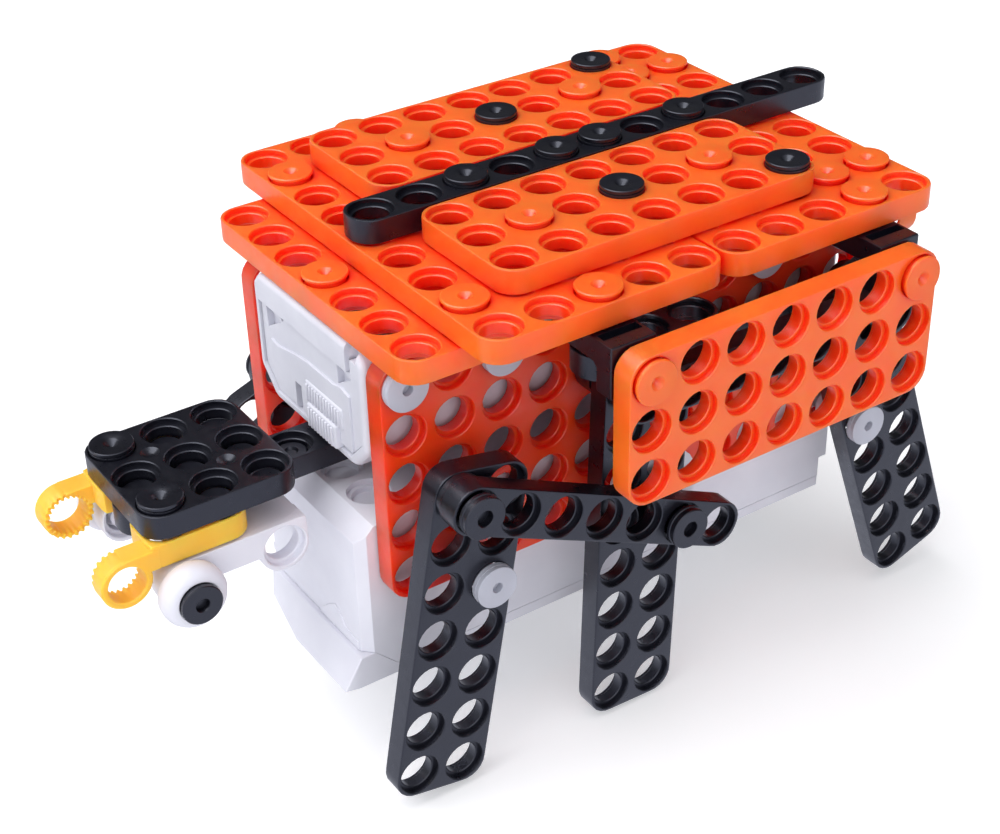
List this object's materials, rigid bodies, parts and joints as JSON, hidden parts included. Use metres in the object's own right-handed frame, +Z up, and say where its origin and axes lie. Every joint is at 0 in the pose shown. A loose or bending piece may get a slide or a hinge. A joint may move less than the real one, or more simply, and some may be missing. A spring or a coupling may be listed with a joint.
{
  "type": "walking robot kit",
  "caption": "Legged walking robot of holed kit plates and beams, with linked legs, a geared motor box, a battery box and a small head with rollers.",
  "frame": {"origin": "on the floor, below the middle of the bounding box", "axes": "+Z up, the robot faces -Y, +X towards its right side as seen from the front"},
  "size_m": [0.0662, 0.109, 0.0638],
  "materials": {
    "orange_plastic": "satin, slightly translucent",
    "black_plastic": "satin",
    "white_plastic": "satin",
    "yellow_plastic": "satin, slightly translucent",
    "grey_plastic": "gloss, slightly translucent",
    "cell_jacket": "satin",
    "steel": "satin",
    "contact_brass": "satin"
  },
  "bodies": {
    "chassis": {"battery_case": "white_plastic", "battery_cell_left": "cell_jacket", "battery_cell_right": "cell_jacket", "battery_spring_contact": "steel", "bracket_bar_left": "black_plastic", "bracket_bar_right": "black_plastic", "bracket_front_left": "black_plastic", "bracket_front_right": "black_plastic", "bracket_rear_left": "black_plastic", "bracket_rear_right": "black_plastic", "deck_front": "orange_plastic", "deck_rear": "orange_plastic", "front_pivot_left": "grey_plastic", "front_pivot_right": "grey_plastic", "gearbox_shell": "white_plastic", "gearbox_tray": "white_plastic", "head_clip_left": "yellow_plastic", "head_clip_right": "yellow_plastic", "head_plate": "black_plastic", "motor": "steel", "neck_beam": "black_plastic", "rear_pivot_left": "grey_plastic", "rear_pivot_right": "grey_plastic", "rear_strip": "orange_plastic", "roller_fork": "white_plastic", "side_panel_left": "orange_plastic", "side_panel_right": "orange_plastic", "side_plate_left": "orange_plastic", "side_plate_right": "orange_plastic", "spine_beam": "black_plastic", "top_pad_left": "orange_plastic", "top_pad_right": "orange_plastic", "under_deck_front": "orange_plastic", "under_deck_rear": "orange_plastic"},
    "battery_door": {"battery_door": "white_plastic", "battery_bridge_contact": "contact_brass"},
    "output": {"output_gear": "white_plastic", "crank_left": "white_plastic", "crank_right": "white_plastic", "crank_peg_left": "black_plastic", "crank_peg_right": "black_plastic"},
    "worm": {"worm": "black_plastic"},
    "front_leg_left": {"front_leg_left": "black_plastic"},
    "front_link_left": {"front_link_left": "black_plastic", "front_link_peg_left": "black_plastic"},
    "middle_leg_left": {"middle_leg_left": "black_plastic", "rear_link_outer_left": "black_plastic", "rear_link_inner_left": "black_plastic", "rear_link_peg_left": "black_plastic"},
    "rear_leg_left": {"rear_leg_left": "black_plastic"},
    "roller_left": {"roller_left": "white_plastic"},
    "front_leg_right": {"front_leg_right": "black_plastic"},
    "front_link_right": {"front_link_right": "black_plastic", "front_link_peg_right": "black_plastic"},
    "middle_leg_right": {"middle_leg_right": "black_plastic", "rear_link_outer_right": "black_plastic", "rear_link_inner_right": "black_plastic", "rear_link_peg_right": "black_plastic"},
    "rear_leg_right": {"rear_leg_right": "black_plastic"},
    "roller_right": {"roller_right": "white_plastic"}
  },
  "joints": [
    {"name": "output_turn", "type": "hinge", "parent": "chassis", "child": "output", "pos_m": [0, 0.00953, 0.02748], "axis": [1, 0, 0], "range_deg": [-30, 30]},
    {"name": "worm_turn", "type": "hinge", "parent": "chassis", "child": "worm", "pos_m": [0, 0.00953, 0.02108], "axis": [0, 1, 0], "range_deg": [-421, 421]},
    {"name": "battery_door_swing", "type": "hinge", "parent": "chassis", "child": "battery_door", "pos_m": [0, -0.02387, 0.04973], "axis": [-1, 0, 0], "range_deg": [0, 90]},
    {"name": "front_leg_left_swing", "type": "hinge", "parent": "chassis", "child": "front_leg_left", "pos_m": [0, -0.01587, 0.02748], "axis": [1, 0, 0], "range_deg": [-2.21, 2.21]},
    {"name": "front_link_left_turn", "type": "hinge", "parent": "output", "child": "front_link_left", "pos_m": [0, 0.01153, 0.02748], "axis": [1, 0, 0], "range_deg": [-27.99, 27.99]},
    {"name": "middle_leg_left_turn", "type": "hinge", "parent": "output", "child": "middle_leg_left", "pos_m": [0, 0.01153, 0.02748], "axis": [1, 0, 0], "range_deg": [-32.23, 32.23]},
    {"name": "rear_leg_left_swing", "type": "hinge", "parent": "chassis", "child": "rear_leg_left", "pos_m": [0, 0.03813, 0.02748], "axis": [1, 0, 0], "range_deg": [-2.23, 2.23]},
    {"name": "roller_left_spin", "type": "hinge", "parent": "chassis", "child": "roller_left", "pos_m": [0, -0.04557, 0.03278], "axis": [1, 0, 0], "continuous": true},
    {"name": "front_leg_right_swing", "type": "hinge", "parent": "chassis", "child": "front_leg_right", "pos_m": [0, -0.01587, 0.02748], "axis": [1, 0, 0], "range_deg": [-2.52, 2.52]},
    {"name": "front_link_right_turn", "type": "hinge", "parent": "output", "child": "front_link_right", "pos_m": [0, 0.00753, 0.02748], "axis": [1, 0, 0], "range_deg": [-32.52, 32.52]},
    {"name": "middle_leg_right_turn", "type": "hinge", "parent": "output", "child": "middle_leg_right", "pos_m": [0, 0.00753, 0.02748], "axis": [1, 0, 0], "range_deg": [-28.21, 28.21]},
    {"name": "rear_leg_right_swing", "type": "hinge", "parent": "chassis", "child": "rear_leg_right", "pos_m": [0, 0.03813, 0.02748], "axis": [1, 0, 0], "range_deg": [-1.99, 1.99]},
    {"name": "roller_right_spin", "type": "hinge", "parent": "chassis", "child": "roller_right", "pos_m": [0, -0.04557, 0.03278], "axis": [1, 0, 0], "continuous": true}
  ],
  "couplings": [
    {"joint": "worm_turn", "follows": "output_turn", "ratio": 14},
    {"joint": "front_leg_left_swing", "follows": "output_turn", "ratio": 0.0704},
    {"joint": "front_link_left_turn", "follows": "output_turn", "ratio": -0.9296},
    {"joint": "middle_leg_left_turn", "follows": "output_turn", "ratio": -1.0711},
    {"joint": "rear_leg_left_swing", "follows": "output_turn", "ratio": -0.0711},
    {"joint": "front_leg_right_swing", "follows": "output_turn", "ratio": -0.0807},
    {"joint": "front_link_right_turn", "follows": "output_turn", "ratio": -1.0807},
    {"joint": "middle_leg_right_turn", "follows": "output_turn", "ratio": -0.937},
    {"joint": "rear_leg_right_swing", "follows": "output_turn", "ratio": 0.063}
  ]
}
